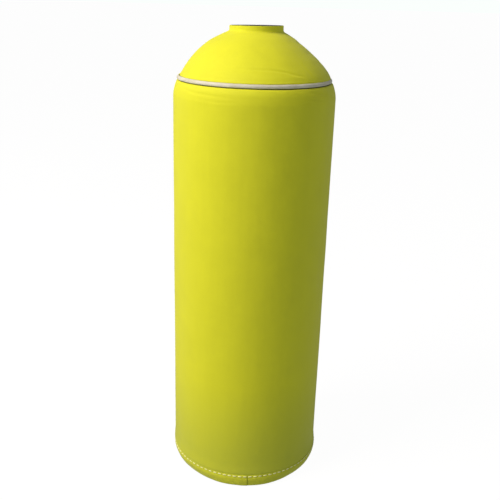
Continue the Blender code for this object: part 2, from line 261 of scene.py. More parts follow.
def turn_outline(shape, outline, runs, closed):
    """Turns an outline of (radius, height, finish) points round Z in runs of (start, angle, steps) that meet.

    A long run is a wedge that is turned and then copied round. Each stretch of the outline gives a band of
    faces with its point's finish, and a UV map in metres: U runs round the axis and V along the outline.
    """
    row = shape.verts.layers.int.get("row") or shape.verts.layers.int.new("row")
    uv = shape.loops.layers.uv.get("laid_flat") or shape.loops.layers.uv.new("laid_flat")
    known = set(shape.faces)
    cut = runs[0][0]
    for start, angle, steps in runs:
        copies = WEDGES if steps % WEDGES == 0 else 1
        before = set(shape.verts)
        corners = []
        for i, (r, z, _) in enumerate(outline):
            corner = shape.verts.new(around(start, r, z))
            corner[row] = i
            corners.append(corner)
        followers = corners[1:] + corners[:1] if closed else corners[1:]
        geom = corners + [shape.edges.new(pair) for pair in zip(corners, followers)]
        spin_round(shape, geom, angle / copies, steps // copies)
        if copies > 1:
            wedge = [corner for corner in shape.verts if corner not in before]
            faces = {face for corner in wedge for face in corner.link_faces}
            edges = {edge for face in faces for edge in face.edges}
            geom = wedge + sorted(edges, key=lambda edge: edge.index) + list(faces)
            spin_round(shape, geom, angle * (copies - 1) / copies, copies - 1, copies=True)
    bmesh.ops.remove_doubles(shape, verts=shape.verts, dist=1e-6)

    lengths = [0.0]
    for (r0, z0, _), (r1, z1, _) in zip(outline, outline[1:] + outline[:1]):
        lengths.append(lengths[-1] + math.hypot(r1 - r0, z1 - z0))
    mean_radius = sum(r for r, _, _ in outline) / len(outline)
    for face in shape.faces:
        if face in known:
            continue
        rows = {corner[row] for corner in face.verts}
        wraps = closed and rows == {0, len(outline) - 1}
        face.material_index = outline[max(rows) if wraps else min(rows)][2]
        middle = face.calc_center_median()
        facing = (math.atan2(middle.y, middle.x) - cut) % math.tau
        for loop in face.loops:
            x, y, _ = loop.vert.co
            angle = math.atan2(y, x) - cut if math.hypot(x, y) > 1e-6 else facing
            angle += math.tau * round((facing - angle) / math.tau)
            along = lengths[-1] if wraps and loop.vert[row] == 0 else lengths[loop.vert[row]]
            loop[uv].uv = (angle * mean_radius, along)


def add_piece(name, shape, materials, body, stands_for, sharp_degrees=35.0):
    """Puts a finished shape in the scene as a piece that rides on a body and stands for a CAD node."""
    mesh = bpy.data.meshes.new(name)
    shape.to_mesh(mesh)
    shape.free()
    for made in materials:
        mesh.materials.append(made)
    mesh.shade_smooth()
    mesh.set_sharp_from_angle(angle=math.radians(sharp_degrees))
    piece = bpy.data.objects.new(name, mesh)
    bpy.context.scene.collection.objects.link(piece)
    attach(piece, body)
    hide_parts(stands_for)
    return piece


def add_ridge(shape, outline, start_height, turns, finish):
    """Starts a shape with a screw thread's ridge: its section wound round Z, with a lead-in at each end."""
    face = shape.faces.new([shape.verts.new((r, 0.0, z + start_height)) for r, z in outline])
    steps = round(turns * THREAD_STEPS)
    spin_round(shape, [face], turns * math.tau, steps, climb=turns * PITCH / steps)
    root = outline[0][0]
    for corner in shape.verts:
        climbed = (corner.co.z - start_height) / PITCH
        lead = clamp(min(climbed, turns - climbed) / LEAD_IN_TURNS + LEAD_IN_START)
        radius = math.hypot(corner.co.x, corner.co.y)
        share = (root + (radius - root) * lead) / radius
        corner.co = (corner.co.x * share, corner.co.y * share, corner.co.z)
    for made in shape.faces:
        made.material_index = finish


def maths(tree, operation, a, b=0.5, c=0.5):
    return node(tree, "Math", {0: a, 1: b, 2: c}, operation=operation)


def sine(tree, value, rate):
    return maths(tree, "SINE", maths(tree, "MULTIPLY", value, rate))


def speckle(tree, place, scale, detail, roughness=0.5):
    """A noise of a scale per metre, about 0.5."""
    sockets = {"Vector": place, "Scale": scale, "Detail": detail, "Roughness": roughness}
    return node(tree, "TexNoise", sockets)


def axes_of(tree, place):
    """The X, Y and Z outputs of a vector."""
    parts = tree.nodes.new("ShaderNodeSeparateXYZ")
    tree.links.new(place, parts.inputs[0])
    return parts.outputs


def blend_colours(tree, amount, first, second):
    """first at 0 and second at 1, each a linear RGB triple or another node's output."""
    ends = {0: amount}
    for key, colour in ((6, first), (7, second)):
        ends[key] = colour if isinstance(colour, bpy.types.NodeSocket) else (*colour, 1.0)
    return node(tree, "Mix", ends, out=2, data_type="RGBA")


def from_axis(tree, x, y):
    """A place's distance from the Z axis."""
    return node(tree, "VectorMath", {0: node(tree, "CombineXYZ", {0: x, 1: y})}, out=1, operation="LENGTH")


def new_material(name, roughness, metallic=0.0):
    """A material with its tree and its shader, whose constant values are set on the sockets."""
    made = bpy.data.materials.new(name)
    made.use_nodes = True
    shader = made.node_tree.nodes["Principled BSDF"]
    shader.inputs["Roughness"].default_value = roughness
    shader.inputs["Metallic"].default_value = metallic
    return made, made.node_tree, shader


def feed(shader, socket, source):
    shader.id_data.links.new(source, shader.inputs[socket])


def add_bump(tree, shader, height, distance, strength=1.0):
    bump = node(tree, "Bump", {"Strength": strength, "Distance": distance, "Height": height})
    feed(shader, "Normal", bump)


def metal(name, colour, dark, roughness, lines_per_metre, depth):
    """Bare aluminium with the tool's fine lines round the axis, and a soft cloudiness from handling."""
    made, tree, shader = new_material(name, roughness, 1.0)
    place = node(tree, "TexCoord", out="Object")
    x, y, z = axes_of(tree, place)
    across = maths(tree, "MULTIPLY", maths(tree, "ADD", z, from_axis(tree, x, y)), lines_per_metre)
    wander = sine(tree, maths(tree, "ARCTAN2", y, x), 2.0)
    drawn = node(tree, "CombineXYZ", {0: across, 1: wander})
    lines = speckle(tree, drawn, 1.0, 3.0, 0.65)
    cloud = speckle(tree, place, 14.0, 4.0, 0.6)
    tone = maths(tree, "ADD", maths(tree, "MULTIPLY", lines, 0.6), maths(tree, "MULTIPLY", cloud, 0.4))
    feed(shader, "Base Color", blend_colours(tree, tone, dark, colour))
    feed(shader, "Roughness", maths(tree, "MULTIPLY_ADD", tone, 0.24, roughness - 0.12))
    add_bump(tree, shader, lines, depth)
    return made


brushed = metal("brushed_aluminium", (0.74, 0.75, 0.77), (0.50, 0.51, 0.53), 0.36, 2600.0, 0.00004)
machined = metal("machined_aluminium", (0.84, 0.85, 0.86), (0.66, 0.67, 0.68), 0.24, 5200.0, 0.00002)
as_formed = metal("as_formed_aluminium", (0.50, 0.51, 0.52), (0.33, 0.33, 0.34), 0.55, 700.0, 0.00006)

inner = TANK_RADIUS - WALL
bore_angle = math.acos(THREAD_MINOR / inner)
gland_floor = TANK_TOP - GLAND_DEPTH
thread_foot = TANK_TOP - THREAD_DEPTH
under_cover = -(NEOPRENE + COVER_GAP)
BRUSHED, MACHINED, FORMED = 0, 1, 2

tank_outline = [(0.0, FLOOR_THICKNESS, FORMED)]
tank_outline += finish_as(
    arc((inner - INNER_CORNER, FLOOR_THICKNESS + INNER_CORNER), INNER_CORNER, -90, 0, 10), FORMED
)
for i in range(25):
    angle = bore_angle * i / 24
    height = INNER_DOME_START + INNER_DOME_RISE * math.sin(angle)
    tank_outline.append((inner * math.cos(angle), height, FORMED))
tank_outline += [
    (THREAD_MINOR, thread_foot, MACHINED),
    (THREAD_MAJOR, thread_foot + THREAD_MAJOR - THREAD_MINOR, MACHINED),
    (THREAD_MAJOR, gland_floor - 0.0005, MACHINED),
    (THREAD_MAJOR + 0.0005, gland_floor, MACHINED),
    (GLAND_RADIUS - 0.0004, gland_floor, MACHINED),
    (GLAND_RADIUS, gland_floor + 0.0004, MACHINED),
    (GLAND_RADIUS, TANK_TOP - 0.0003, MACHINED),
    (GLAND_RADIUS + 0.0003, TANK_TOP, MACHINED),
    (NECK_RADIUS - NECK_CHAMFER, TANK_TOP, MACHINED),
    (NECK_RADIUS, TANK_TOP - NECK_CHAMFER, BRUSHED),
]
tank_outline += finish_as(dome_curve(dome_angle(NECK_RADIUS, 0, under_cover), 0.0, 48, under_cover), BRUSHED)
tank_outline += finish_as(upright(TANK_RADIUS, SHOULDER_START, BASE_CORNER, 12)[:-1], BRUSHED)
tank_outline += finish_as(arc((TANK_RADIUS - BASE_CORNER, BASE_CORNER), BASE_CORNER, 0, -90, 14), BRUSHED)
tank_outline.append((0.0, 0.0, BRUSHED))

NECK_RIDGE = [(THREAD_MAJOR + 0.0004, -0.00072), (THREAD_MINOR, -0.00024),
              (THREAD_MINOR, 0.00024), (THREAD_MAJOR + 0.0004, 0.00072)]
PLUG_THREAD_START = TANK_TOP - 0.0180
NECK_RIDGE_TURNS = 10

shape = bmesh.new()
add_ridge(shape, NECK_RIDGE, PLUG_THREAD_START - 2.5 * PITCH, NECK_RIDGE_TURNS, MACHINED)
turn_outline(shape, tank_outline, [(0.0, math.tau, TANK_STEPS)], closed=False)
face_out(shape)
tank = add_piece(
    "tank_shell", shape, [brushed, machined, as_formed], "cylinder", "cylinder_shell"
)

# ---------------------------------------- the neck plug
# A plug turned from black nylon rod, with a flange, a hexagon socket for a key and a 3/4 inch thread, is
# screwed into the neck in place of the valve. It presses a rubber O-ring into the gland.
THREAD_GAP = 0.0003
FLANGE_RADIUS = 0.0210
FLANGE_UNDER = TANK_TOP + THREAD_GAP
FLANGE_TOP = FLANGE_UNDER + 0.0032
FLANGE_ROUND = 0.0008
SHANK_RADIUS = 0.0126
CORE_RADIUS = THREAD_MINOR - THREAD_GAP
PLUG_BOTTOM = TANK_TOP - 0.0200
PLUG_RIDGE_TURNS = 7
SOCKET_FLATS = 0.0140
SOCKET_DEPTH = 0.0100
SOCKET_CHAMFER = 0.0005
PLUG_STEPS = 96

nylon, tree, shader = new_material("black_nylon", 0.42)
place = node(tree, "TexCoord", out="Object")
x, y, z = axes_of(tree, place)
tool = sine(tree, maths(tree, "ADD", from_axis(tree, x, y), z), 26000.0)
cloud = speckle(tree, place, 160.0, 4.0, 0.6)
feed(shader, "Base Color", blend_colours(tree, cloud, (0.012, 0.012, 0.013), (0.032, 0.032, 0.035)))
feed(shader, "Roughness", maths(tree, "MULTIPLY_ADD", cloud, 0.25, 0.30))
add_bump(tree, shader, tool, 0.00002, 0.6)

plug_outline = finish_as(
    [(SOCKET_FLATS / math.sqrt(3) + 0.0008, FLANGE_TOP)]
    + arc((FLANGE_RADIUS - FLANGE_ROUND, FLANGE_TOP - FLANGE_ROUND), FLANGE_ROUND, 90, 0, 5)
    + [
        (FLANGE_RADIUS, FLANGE_UNDER),
        (SHANK_RADIUS, FLANGE_UNDER),
        (SHANK_RADIUS, gland_floor + 3 * THREAD_GAP),
        (CORE_RADIUS, gland_floor + THREAD_GAP),
        (CORE_RADIUS, PLUG_BOTTOM + 0.001),
        (CORE_RADIUS - 0.001, PLUG_BOTTOM),
        (0.0, PLUG_BOTTOM),
    ],
    0,
)
PLUG_RIDGE = [(CORE_RADIUS - 0.0004, -0.00062), (0.01305, -0.0002), (0.01305, 0.0002),
              (CORE_RADIUS - 0.0004, 0.00062)]

shape = bmesh.new()
add_ridge(shape, PLUG_RIDGE, PLUG_THREAD_START, PLUG_RIDGE_TURNS, 0)
turn_outline(shape, plug_outline, [(0.0, math.tau, PLUG_STEPS)], closed=False)
mouth = [edge for edge in shape.edges if edge.is_boundary]


def azimuth_of(corner):
    return math.atan2(corner.co.y, corner.co.x)


def hexagon(flats, height):
    """A ring of the plug's number of corners, pushed in to the sides of a hexagon."""
    ring = bmesh.ops.create_circle(shape, segments=PLUG_STEPS, radius=1.0)["verts"]
    for corner in ring:
        azimuth = azimuth_of(corner)
        from_flat = (azimuth + math.pi / 6) % (math.pi / 3) - math.pi / 6
        corner.co = around(azimuth, flats / 2 / math.cos(from_flat), height)
    return [edge for edge in shape.edges if edge.verts[0] in ring and edge.verts[1] in ring]


rings = [
    mouth,
    hexagon(SOCKET_FLATS + 2 * SOCKET_CHAMFER, FLANGE_TOP),
    hexagon(SOCKET_FLATS, FLANGE_TOP - SOCKET_CHAMFER),
    hexagon(SOCKET_FLATS, FLANGE_TOP - SOCKET_DEPTH),
]
for upper, lower in zip(rings, rings[1:]):
    bmesh.ops.bridge_loops(shape, edges=upper + lower)
bmesh.ops.holes_fill(shape, edges=rings[-1], sides=PLUG_STEPS)
face_out(shape)
add_piece("plug", shape, [nylon], "plug", "neck_plug")

O_RING_RADIUS = 0.0146
O_RING_SECTION = 0.00135

rubber, tree, shader = new_material("black_rubber", 0.55)
place = node(tree, "TexCoord", out="Object")
grease = speckle(tree, place, 700.0, 3.0)
feed(shader, "Base Color", blend_colours(tree, grease, (0.010, 0.010, 0.010), (0.026, 0.026, 0.027)))
feed(shader, "Roughness", maths(tree, "MULTIPLY_ADD", grease, 0.5, 0.25))
add_bump(tree, shader, grease, 0.00003)

shape = bmesh.new()
o_ring_middle = (O_RING_RADIUS, (gland_floor + FLANGE_UNDER) / 2)
section = finish_as(arc(o_ring_middle, O_RING_SECTION, 0, -345, 23), 0)
turn_outline(shape, section, [(0.0, math.tau, PLUG_STEPS)], closed=True)
face_out(shape)
add_piece("o_ring", shape, [rubber], "plug_seal", "plug_o_ring")

# ---------------------------------------- the cover's body panel
# 3 mm black neoprene foam faced with yellow nylon jersey and lined with black. It is cut as a rectangle,
# rolled into a tube, glued and blind stitched edge to edge up the back, and it stretches over the cylinder.
BACK = math.pi / 2
SLIT = 0.0002
PANEL_STEPS = 288
BESIDE_SLIT = 0.012
BESIDE_SLIT_STEPS = 14
HEM_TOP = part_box("hem_binding")[1].z
HEM_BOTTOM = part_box("hem_binding")[0].z
HEM_PRESSED = 0.0020
BINDING_UNDER = 0.0011
SEAM_HEIGHT = 0.5010
SEAM_ANGLE = dome_angle(SEAM_HEIGHT, 1)
SEAM_HALF = 0.00085
BODY_LIP = 0.0026
LIP_UNDER_BEAD = 0.0024
TAPE_WIDTH = 0.018
TAPE_THICKNESS = 0.0005
TAPE_ROOM = 0.0004
HEM_DRAWN_IN = 0.0032
SLACK_AT_FRONT = math.radians(12)
DRAWN_IN_OVER = math.radians(34)
HEM_FLARE = 0.0010
HEM_FLARE_RISE = 0.016
HEM_PINCH = 0.0005
LIP_ROLL = 0.0007
PUFF = 0.0007
PUFF_WIDTH = 0.0055
CREASE_BANK = 0.45
WRINKLES_FROM = 0.465
FINE_ROWS_FROM = 0.030
KNIT, FOAM, LINING = 0, 1, 2


def beside_seam(along, out):
    """A point placed from the piped seam: up along the dome, and out from the cover's face."""
    nudge = 0.001
    step = math.dist(dome_point(SEAM_ANGLE), dome_point(SEAM_ANGLE + nudge))
    return dome_point(SEAM_ANGLE + along * nudge / step, out)


def knit_height(tree, place, wale, course):
    """A jersey's face, 0 in its hollows and 1 on its yarn: columns of V stitches at a place in metres."""
    x, y, _ = axes_of(tree, place)
    column = maths(tree, "FRACT", maths(tree, "DIVIDE", x, wale))
    across = maths(tree, "ABSOLUTE", maths(tree, "MULTIPLY_ADD", column, 2.0, -1.0))
    rise = maths(tree, "MULTIPLY_ADD", across, -0.6, maths(tree, "DIVIDE", y, course))
    loop = maths(tree, "MULTIPLY_ADD", sine(tree, rise, math.tau), 0.25, 0.75)
    leg = maths(tree, "PINGPONG", maths(tree, "MULTIPLY", across, 2.0), 1.0)
    return maths(tree, "MULTIPLY", loop, maths(tree, "POWER", leg, 0.6))


def knit_cloth(name, colour, deep, bottom_colour, bottom_share, wale, course):
    """Nylon jersey bonded to foam, with the slight cloudiness of dyed cloth, painted shade in the knit's
    hollows, and a blend towards a second colour near the bottom, which on the yellow cloth is painted shade.
    """
    made, tree, shader = new_material(name, 0.62)
    shader.inputs["Sheen Weight"].default_value = 0.12
    shader.inputs["Sheen Roughness"].default_value = 0.45
    shader.inputs["Specular IOR Level"].default_value = 0.2
    flat = node(tree, "UVMap", uv_map="laid_flat")
    place = node(tree, "TexCoord", out="Object")
    height = knit_height(tree, flat, wale, course)
    cloud = speckle(tree, place, 34.0, 4.0, 0.62)
    fleck = speckle(tree, place, 620.0, 2.0, 0.7)
    # Painted shade: the knit's hollows are darker; the cloud, flecks and streaks are the cloth's own uneven
    # dye.
    tone = maths(tree, "MULTIPLY_ADD", height, 0.35, maths(tree, "MULTIPLY_ADD", cloud, 0.7, -0.10))
    tone = maths(tree, "MULTIPLY_ADD", fleck, 0.30, tone)
    drawn_out = node(tree, "VectorMath", {0: place, 1: (1.0, 1.0, 0.06)}, operation="MULTIPLY")
    streak = speckle(tree, drawn_out, 130.0, 3.0, 0.6)
    tone = maths(tree, "MULTIPLY_ADD", streak, 0.40, maths(tree, "ADD", tone, -0.20))
    cloth = blend_colours(tree, tone, deep, colour)
    # Below 0.14 m the colour blends towards a second colour; on the yellow cloth this is painted shade,
    # darker and greener towards the floor, where the light falls off.
    low = node(tree, "MapRange", {0: axes_of(tree, place)[2], 1: 0.14, 2: 0.02, 3: 0.0, 4: bottom_share})
    bottom_blend = maths(tree, "MULTIPLY", low, maths(tree, "MULTIPLY_ADD", cloud, 0.9, 0.55))
    feed(shader, "Base Color", blend_colours(tree, bottom_blend, cloth, bottom_colour))
    feed(shader, "Roughness", maths(tree, "MULTIPLY_ADD", cloud, 0.20, 0.52))
    add_bump(tree, shader, height, 0.00012, 0.8)
    return made


YELLOW = (0.79, 0.80, 0.024)
YELLOW_DEEP = (0.67, 0.68, 0.018)
# Painted shade: the yellow cloth's colour near the bottom, darker and greener, where the light falls off
# towards the floor.
YELLOW_PAINTED_SHADE = (0.40, 0.46, 0.055)
yellow_knit = knit_cloth("yellow_jersey", YELLOW, YELLOW_DEEP, YELLOW_PAINTED_SHADE, 0.50, 0.0009, 0.0007)
black_knit = knit_cloth(
    "black_lining", (0.030, 0.030, 0.032), (0.012, 0.012, 0.013), (0.04, 0.04, 0.04), 0.5, 0.0011, 0.0009
)

black_foam, tree, shader = new_material("black_foam", 0.85)
place = node(tree, "TexCoord", out="Object")
cells = node(tree, "TexVoronoi", {"Vector": place, "Scale": 3600.0}, out="Distance")
feed(shader, "Base Color", blend_colours(tree, cells, (0.010, 0.010, 0.010), (0.045, 0.045, 0.043)))
add_bump(tree, shader, cells, 0.00012)


# How far the cover stands off the plain dome at (height, left, right), where it is drawn tight or slack.
SETTLING = [
    (0.480, 0.0002, -0.0002), (0.500, 0.0000, -0.0004), (0.508, -0.0009, -0.0006), (0.516, -0.0006, -0.0006),
    (0.523, -0.0001, -0.0012), (0.533, 0.0005, -0.0018), (0.541, 0.0009, -0.0017), (0.549, 0.0005, -0.0009),
    (0.554, 0.0000, 0.0000),
]


def ease(value):
    """0 below 0, 1 above 1, and a smooth step between."""
    share = clamp(value)
    return share * share * (3 - 2 * share)


def towards_right(azimuth):
    """1 on the right of the cover, 0 on its left."""
    return (1 + math.cos(azimuth)) / 2


def lean(azimuth, height):
    """How far the cover stands off at a place: it leans a little to the left, most of all on the shoulder."""
    left, right = SETTLING[0][1:]
    for (h0, l0, r0), (h1, l1, r1) in zip(SETTLING, SETTLING[1:]):
        if height >= h0:
            share = ease((height - h0) / (h1 - h0))
            left, right = l0 + (l1 - l0) * share, r0 + (r1 - r0) * share
    return left + (right - left) * towards_right(azimuth)


def hem_taper(azimuth, height):
    """The stretched hem draws in under the cylinder's rounded corner, all round but at the front."""
    below = max(0.0, (HEM_TOP - height) / (HEM_TOP - HEM_BOTTOM))
    from_front = abs((azimuth + math.tau * 0.75) % math.tau - math.pi)
    return HEM_DRAWN_IN * below**1.6 * ease((from_front - SLACK_AT_FRONT) / DRAWN_IN_OVER)


def draw_in(shape):
    """Draws everything below the hem's upper edge in towards the axis."""
    for corner in shape.verts:
        if corner.co.z < HEM_TOP:
            azimuth = azimuth_of(corner)
            corner.co -= around(azimuth, hem_taper(azimuth, corner.co.z), 0.0)


def bump_at(distance, width):
    return math.exp(-((distance / width) ** 2))


def crease(azimuth, height, radius, points, width):
    """How deep a crease is at a place: it runs through points of (azimuth in degrees, height, depth)."""
    heights = [point[1] for point in points]
    if not min(heights) - 5 * width < height < max(heights) + 5 * width:
        return 0.0
    here = Vector((azimuth * radius, height))
    deepest = 0.0
    for (a0, h0, d0), (a1, h1, d1) in zip(points, points[1:]):
        start = Vector((math.radians(a0) * radius, h0))
        run = Vector((math.radians(a1) * radius, h1)) - start
        share = clamp((here - start).dot(run) / run.length_squared)
        away = (here - start - share * run).length
        depth = d0 + (d1 - d0) * share
        deepest = max(deepest, depth * (bump_at(away, width) - CREASE_BANK * bump_at(away, 2.6 * width)))
    return deepest


def slit_lip(azimuth, radius):
    """How far the cut edges roll in towards the closing seam at the back."""
    return LIP_ROLL * bump_at((azimuth - BACK) * radius, 0.0011)


def swell(shape, outline, give, amount):
    """Moves a turned shape's rows out along their outline's normal, each by its give times the amount.

    The outline runs down the outer side. amount is a function of (azimuth, height, radius), in metres.
    """
    row = shape.verts.layers.int["row"]
    normals = []
    for i in range(len(outline)):
        r0, z0, _ = outline[i - 1]
        r1, z1, _ = outline[(i + 1) % len(outline)]
        size = math.hypot(r1 - r0, z1 - z0)
        normals.append(((z0 - z1) / size, (r1 - r0) / size))
    for corner in shape.verts:
        i = corner[row]
        if give[i] == 0.0:
            continue
        azimuth = azimuth_of(corner)
        r, z, _ = outline[i]
        out = give[i] * amount(azimuth, z, r)
        corner.co += around(azimuth, out * normals[i][0], out * normals[i][1])


def slit_runs(radius):
    """The runs of a panel that is open at the back, with finer steps beside its cut edges."""
    half = SLIT / 2 / radius
    beside = BESIDE_SLIT / radius
    return [
        (BACK + half, beside, BESIDE_SLIT_STEPS),
        (BACK + half + beside, math.tau - 2 * half - 2 * beside, PANEL_STEPS),
        (BACK - half - beside, beside, BESIDE_SLIT_STEPS),
    ]


def close_ends(shape, finish):
    """Caps the two cut edges of a turned shape."""
    known = set(shape.faces)
    open_edges = [edge for edge in shape.edges if edge.is_boundary]
    bmesh.ops.holes_fill(shape, edges=open_edges, sides=0)
    for face in shape.faces:
        if face not in known:
            face.material_index = finish
    face_out(shape)


PIPING_WRINKLES = [
    [(-52, 0.494, 0.0003), (-42, 0.492, 0.0013), (-32, 0.490, 0.0007)],
    [(-56, 0.487, 0.0002), (-44, 0.486, 0.0011), (-34, 0.484, 0.0005)],
    [(-56, 0.481, 0.0002), (-44, 0.480, 0.0008), (-34, 0.477, 0.0003)],
    [(-150, 0.493, 0.0002), (-139, 0.4905, 0.0007), (-122, 0.4895, 0.0007), (-106, 0.4885, 0.0002)],
    [(-130, 0.484, 0.0001), (-116, 0.483, 0.0004), (-100, 0.4835, 0.0001)],
]


def uneven(azimuth, rise, *waves):
    """Cloth is never quite even: the sum of noises of (depth, scale) at a place round the cover."""
    where = around(azimuth, 1.0, rise)
    return sum(depth * noise(where * scale) for depth, scale in waves)


def body_swell(azimuth, height, radius):
    out = lean(azimuth, height) + uneven(azimuth, height * 7.0, (0.00030, 1.3), (0.00012, 4.1))
    out += PUFF * max(0.0, -math.sin(azimuth)) * bump_at(height - SEAM_HEIGHT + 0.0080, PUFF_WIDTH)
    out += HEM_FLARE * ease(1 - (height - HEM_TOP) / HEM_FLARE_RISE)
    out -= HEM_PINCH * bump_at(height - HEM_TOP - 0.0005, 0.0011)
    if height > WRINKLES_FROM:
        out -= sum(crease(azimuth, height, radius, line, 0.0016) for line in PIPING_WRINKLES)
    return out - slit_lip(azimuth, radius)


pressed = COVER_RADIUS - HEM_PRESSED
panel_edge = HEM_BOTTOM + BINDING_UNDER + 0.0003
inner_radius = COVER_RADIUS - NEOPRENE
lip_middle = LIP_UNDER_BEAD + BODY_LIP
body_outline = [
    (*beside_seam(-SEAM_HALF, -NEOPRENE), FOAM),
    (*beside_seam(-SEAM_HALF, -NEOPRENE + 0.0004), FOAM),
    (*beside_seam(-LIP_UNDER_BEAD, -BODY_LIP), KNIT),
]
rolled_edge = arc((-lip_middle, -BODY_LIP), BODY_LIP, 0, 90, 8)
body_outline += finish_as([beside_seam(*place) for place in rolled_edge[1:]], KNIT)
body_outline += finish_as(
    [dome_point(dome_angle(beside_seam(-lip_middle, 0)[1], 1) * (1 - i / 14)) for i in range(1, 15)], KNIT
)
body_outline += finish_as(upright(COVER_RADIUS, SHOULDER_START, FINE_ROWS_FROM, 80), KNIT)
body_outline += finish_as(upright(COVER_RADIUS, FINE_ROWS_FROM, HEM_TOP - 0.001, 12), KNIT)
outer_rows = len(body_outline)
body_outline += [
    (COVER_RADIUS, panel_edge + 0.001, FOAM),
    (COVER_RADIUS - 0.001, panel_edge, FOAM),
    (pressed, panel_edge, LINING),
    (pressed, HEM_TOP + 0.0003, LINING),
    (inner_radius, HEM_TOP + 0.0023, LINING),
    (inner_radius, HEM_TOP + 0.0053, LINING),
]
body_outline += finish_as(upright(inner_radius, HEM_TOP + 0.0053, SHOULDER_START - 0.003, 30), LINING)
body_outline += finish_as(
    [dome_point(dome_angle(beside_seam(-SEAM_HALF, 0)[1], 1) * i / 8, -NEOPRENE) for i in range(8)], LINING
)
body_give = [0.0, 0.0, 0.5] + [1.0] * (outer_rows - 3) + [0.0] * (len(body_outline) - outer_rows)


def let_in_tape(shape, outline, rows, mean_radius):
    """Sets the lining's rows back beside the closing seam, where the seam tape is glued flush."""
    half = (TAPE_WIDTH / 2 + TAPE_ROOM) / mean_radius
    give = [-(TAPE_THICKNESS + COVER_GAP) if i in rows else 0.0 for i in range(len(outline))]
    swell(shape, outline, give, lambda azimuth, height, radius: float(abs(azimuth - BACK) < half))


shape = bmesh.new()
turn_outline(shape, body_outline, slit_runs(COVER_RADIUS), closed=True)
swell(shape, body_outline, body_give, body_swell)
taped_rows = [
    i for i, (_, z, _) in enumerate(body_outline)
    if i >= outer_rows and HEM_TOP + 0.005 < z < SHOULDER_START - 0.002
]
let_in_tape(shape, body_outline, taped_rows, COVER_RADIUS)
draw_in(shape)
close_ends(shape, FOAM)
LAMINATE = [yellow_knit, black_foam, black_knit]
body_panel = add_piece("body_panel", shape, LAMINATE, "cover", "cover_body_panel")

# ---------------------------------------- the shoulder panel
# The same laminate, cut flat as most of a ring and rolled into a dome, with its own closing seam at the
# back. Its lower edge is sewn to the body panel's with the piping between them.
COLLAR_INNER = NECK_RADIUS + COVER_GAP
COLLAR_OUTER = COLLAR_INNER + NEOPRENE
SHOULDER_LIP = 0.0016
SHOULDER_LIP_BESIDE_BEAD = 0.0022
SHOULDER_TAPE_RADIUS = 0.067
SHOULDER_ROWS = 96
HELD_BY_COLLAR = 0.02
CREASES_UP_TO = 0.535
SHOULDER_CREASES = [
    [(-108, 0.518, 0.0002), (-90, 0.518, 0.0006), (-78, 0.5175, 0.0009), (-66, 0.5155, 0.0010),
     (-57, 0.512, 0.0009), (-50, 0.510, 0.0003)],
    [(-43, 0.508, 0.0003), (-45, 0.515, 0.0008), (-49, 0.526, 0.0002)],
    [(-159, 0.510, 0.0002), (-155, 0.512, 0.0005), (-150, 0.512, 0.0001)],
    [(-128, 0.508, 0.0001), (-118, 0.511, 0.0003), (-108, 0.511, 0.0001)],
    [(60, 0.509, 0.0001), (40, 0.514, 0.0005), (24, 0.512, 0.0002)],
    [(132, 0.511, 0.0002), (150, 0.515, 0.0005), (168, 0.512, 0.0001)],
]


def shoulder_swell(azimuth, height, radius):
    free = clamp((radius - COLLAR_OUTER) / HELD_BY_COLLAR)
    out = lean(azimuth, height) + uneven(azimuth, height * 9.0, (0.00038, 1.6), (0.00016, 4.3))
    out = out * free + PUFF * towards_right(azimuth) * bump_at(height - SEAM_HEIGHT - 0.0075, PUFF_WIDTH)
    if height < CREASES_UP_TO:
        out -= sum(crease(azimuth, height, radius, line, 0.0018) for line in SHOULDER_CREASES)
    return out - slit_lip(azimuth, radius) * free


neck_edge = dome_angle(COLLAR_INNER, 0)
shoulder_lip_middle = SHOULDER_LIP_BESIDE_BEAD + SHOULDER_LIP
shoulder_foot = dome_angle(beside_seam(shoulder_lip_middle, 0)[1], 1)
shoulder_outline = finish_as(dome_curve(neck_edge, shoulder_foot, SHOULDER_ROWS), KNIT)
rolled_edge = arc((shoulder_lip_middle, -SHOULDER_LIP), SHOULDER_LIP, 90, 180, 7)
shoulder_outline += finish_as([beside_seam(*place) for place in rolled_edge[1:]], KNIT)
outer_rows = len(shoulder_outline)
shoulder_outline += [
    (*beside_seam(SEAM_HALF, -NEOPRENE + 0.0004), FOAM),
    (*beside_seam(SEAM_HALF, -NEOPRENE), LINING),
]
lined_foot = dome_angle(beside_seam(SEAM_HALF, 0)[1], 1)
lined_neck = dome_angle(COLLAR_INNER, 0, -NEOPRENE)
for i in range(1, 29):
    angle = lined_foot + (lined_neck - lined_foot) * i / 28
    shoulder_outline.append((*dome_point(angle, -NEOPRENE), LINING if i < 28 else FOAM))
shoulder_give = [1.0] * (outer_rows - 1) + [0.5] + [0.0] * (len(shoulder_outline) - outer_rows)

shape = bmesh.new()
turn_outline(shape, shoulder_outline, slit_runs(SHOULDER_TAPE_RADIUS), closed=True)
swell(shape, shoulder_outline, shoulder_give, shoulder_swell)
lined_foot_radius = dome_point(SEAM_ANGLE, -NEOPRENE)[0]
taped_rows = [
    i for i, (r, _, _) in enumerate(shoulder_outline)
    if i >= outer_rows + 2 and COLLAR_INNER + 0.0095 < r < lined_foot_radius - 0.004
]
let_in_tape(shape, shoulder_outline, taped_rows, SHOULDER_TAPE_RADIUS)
close_ends(shape, FOAM)

# The cloth's grain: the panel's UV map is its flat pattern, an arc of a ring.
pattern_length = sum(
    math.dist(shoulder_outline[i][:2], shoulder_outline[i + 1][:2]) for i in range(SHOULDER_ROWS)
)
seam_radius = dome_point(SEAM_ANGLE)[0]
taper = (seam_radius - COLLAR_INNER) / pattern_length
pattern_inner = COLLAR_INNER / taper
uv = shape.loops.layers.uv["laid_flat"]
turned_radius = sum(r for r, _, _ in shoulder_outline) / len(shoulder_outline)
for face in shape.faces:
    for loop in face.loops:
        u, v = loop[uv].uv
        spread = (u / turned_radius - math.pi) * taper
        reach = pattern_inner + v
        loop[uv].uv = (reach * math.sin(spread), reach * math.cos(spread))

shoulder_panel = add_piece(
    "shoulder_panel", shape, LAMINATE, "cover", "cover_shoulder_panel"
)

